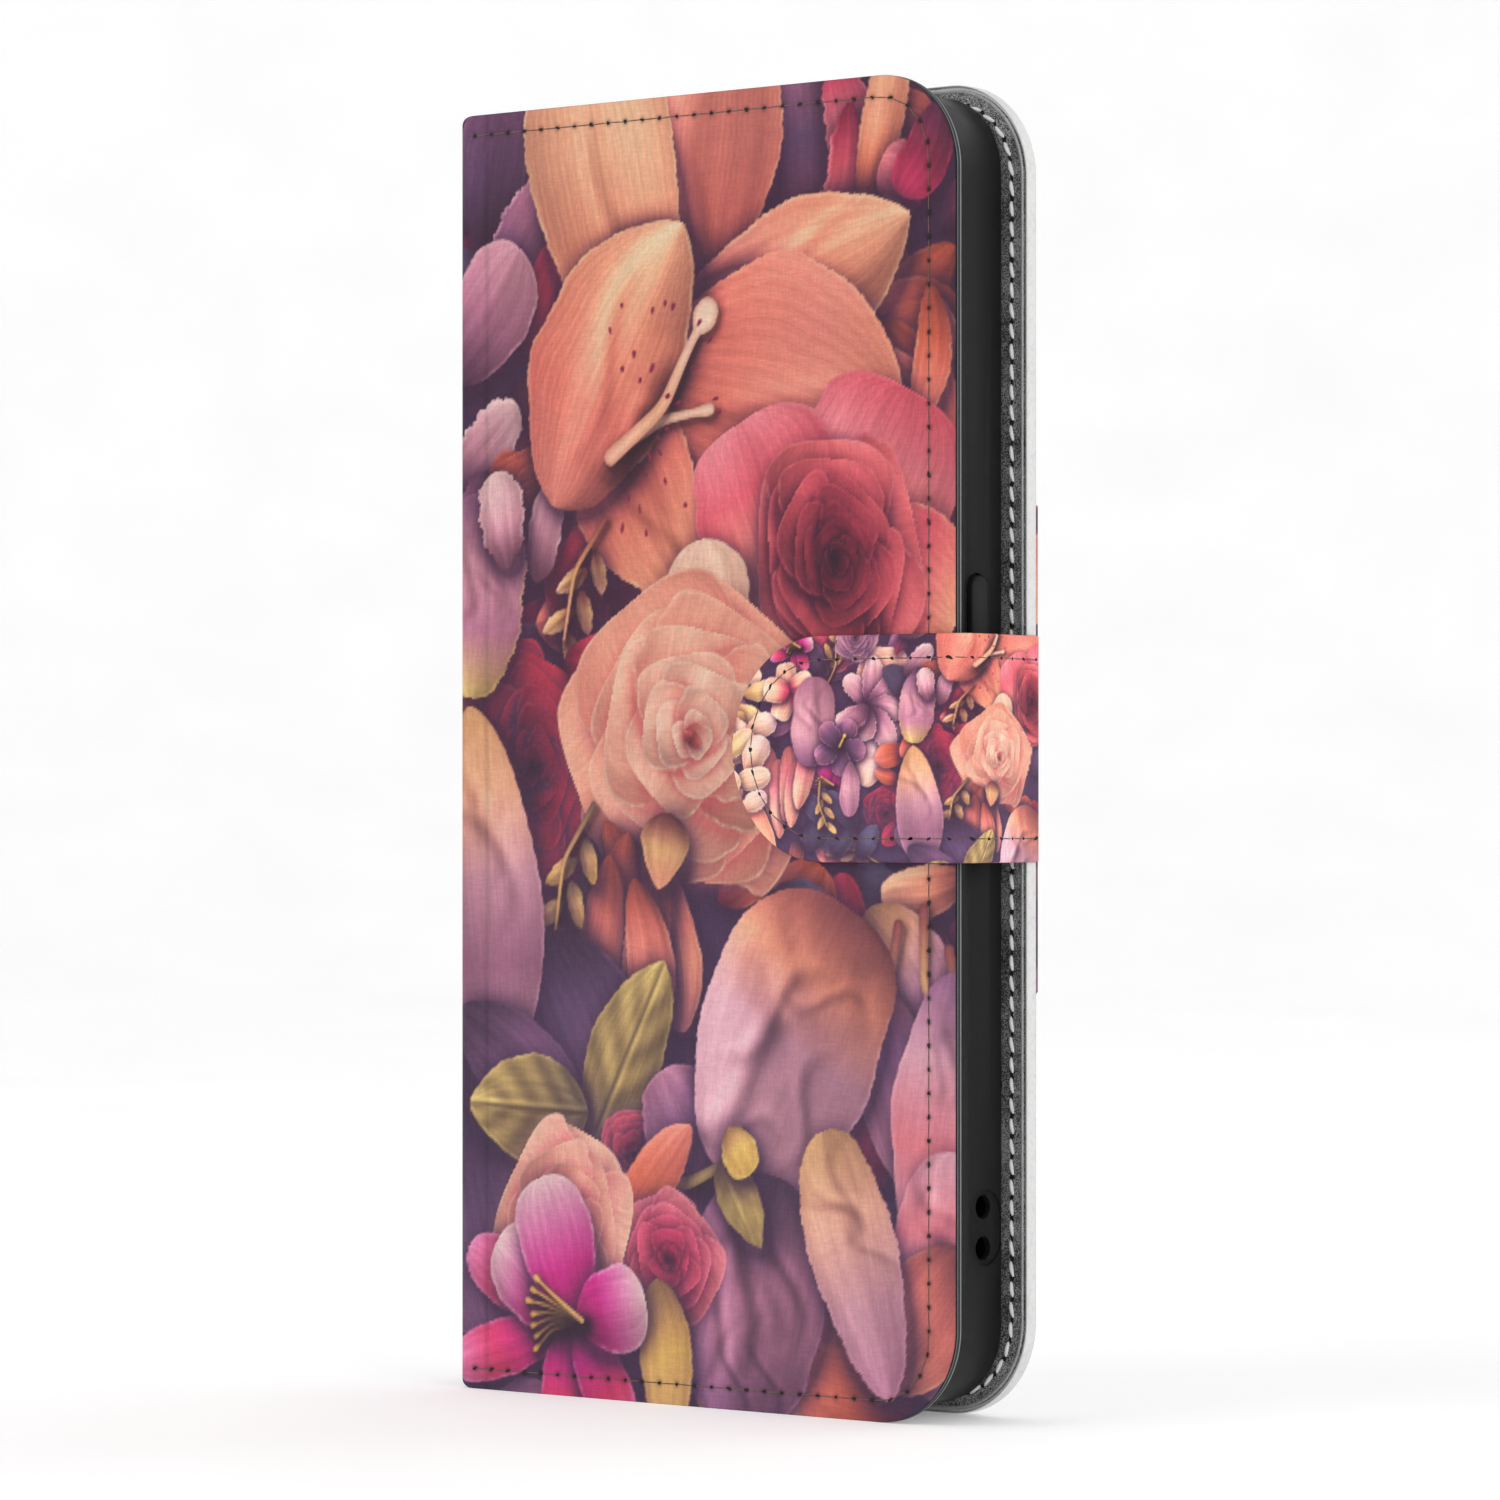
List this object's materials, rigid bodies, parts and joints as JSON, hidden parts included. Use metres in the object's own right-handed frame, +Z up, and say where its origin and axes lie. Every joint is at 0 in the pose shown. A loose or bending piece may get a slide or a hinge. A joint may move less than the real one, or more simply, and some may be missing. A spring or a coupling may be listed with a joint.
{
  "type": "folding phone case",
  "caption": "Book-style folding phone case with a moulded inner shell, card pockets and a magnetic closure strap.",
  "frame": {"origin": "on the surface that the closed case stands on, under the middle of its box", "axes": "+Z up along the case's height, -Y out of the front cover, -X out of the spine, +X out of the opening side"},
  "size_m": [0.0856, 0.0188, 0.168],
  "materials": {
    "printed_leather": "imitation leather with a printed flower pattern, fine grain, low sheen",
    "white_leather": "white imitation leather, fine grain, low sheen",
    "grey_lining": "dark grey grained imitation leather lining",
    "pocket_lining": "dark grey grained imitation leather",
    "board": "stiff grey-brown board",
    "white_thread": "twisted white sewing thread",
    "brown_thread": "twisted brown sewing thread",
    "black_shell": "black flexible moulded shell, satin",
    "black_keys": "black flexible moulded keys, satin",
    "adhesive_pad": "thin adhesive sheet",
    "steel": "thin steel disc",
    "magnet": "nickel-plated disc magnet"
  },
  "bodies": {
    "back_cover": {"back_skin": "white_leather", "back_board": "board", "back_liner": "grey_lining", "back_stitching": "white_thread", "shell": "black_shell", "shell_pad": "adhesive_pad", "strap_anchor": "printed_leather"},
    "spine": {"spine_skin": "printed_leather", "spine_board": "board", "spine_liner": "grey_lining"},
    "front_cover": {"front_skin": "printed_leather", "front_board": "board", "closure_plate": "steel", "front_liner": "grey_lining", "front_stitching": "brown_thread", "note_pocket": "pocket_lining", "card_pocket_1": "pocket_lining", "card_pocket_2": "pocket_lining", "card_pocket_3": "pocket_lining"},
    "strap_side": {"strap_side_skin": "printed_leather", "strap_side_liner": "grey_lining", "strap_side_stitching": "brown_thread"},
    "strap_tab": {"strap_tab_skin": "printed_leather", "strap_tab_core": "board", "strap_tab_magnet": "magnet", "strap_tab_liner": "grey_lining", "strap_tab_stitching": "brown_thread"},
    "power_key": {"power_button": "black_keys"},
    "volume_key": {"volume_button": "black_keys"}
  },
  "joints": [
    {"name": "spine_hinge", "type": "hinge", "parent": "back_cover", "child": "spine", "pos_m": [-0.04283, 0.00887, 0.084], "axis": [0, 0, -1], "range_deg": [0, 180]},
    {"name": "cover_hinge", "type": "hinge", "parent": "spine", "child": "front_cover", "pos_m": [-0.04283, -0.00773, 0.084], "axis": [0, 0, -1], "range_deg": [0, 180]},
    {"name": "strap_root_hinge", "type": "hinge", "parent": "back_cover", "child": "strap_side", "pos_m": [0.04267, 0.00937, 0.084], "axis": [0, 0, 1], "range_deg": [0, 105]},
    {"name": "strap_tab_hinge", "type": "hinge", "parent": "strap_side", "child": "strap_tab", "pos_m": [0.04267, -0.00923, 0.084], "axis": [0, 0, 1], "range_deg": [0, 90]},
    {"name": "power_key_press", "type": "slide", "parent": "back_cover", "child": "power_key", "axis": [-1, 0, 0], "range_m": [0, 0.0004], "stiffness_N_per_m": 2500},
    {"name": "volume_key_press", "type": "slide", "parent": "back_cover", "child": "volume_key", "axis": [1, 0, 0], "range_m": [0, 0.0004], "stiffness_N_per_m": 2500}
  ]
}
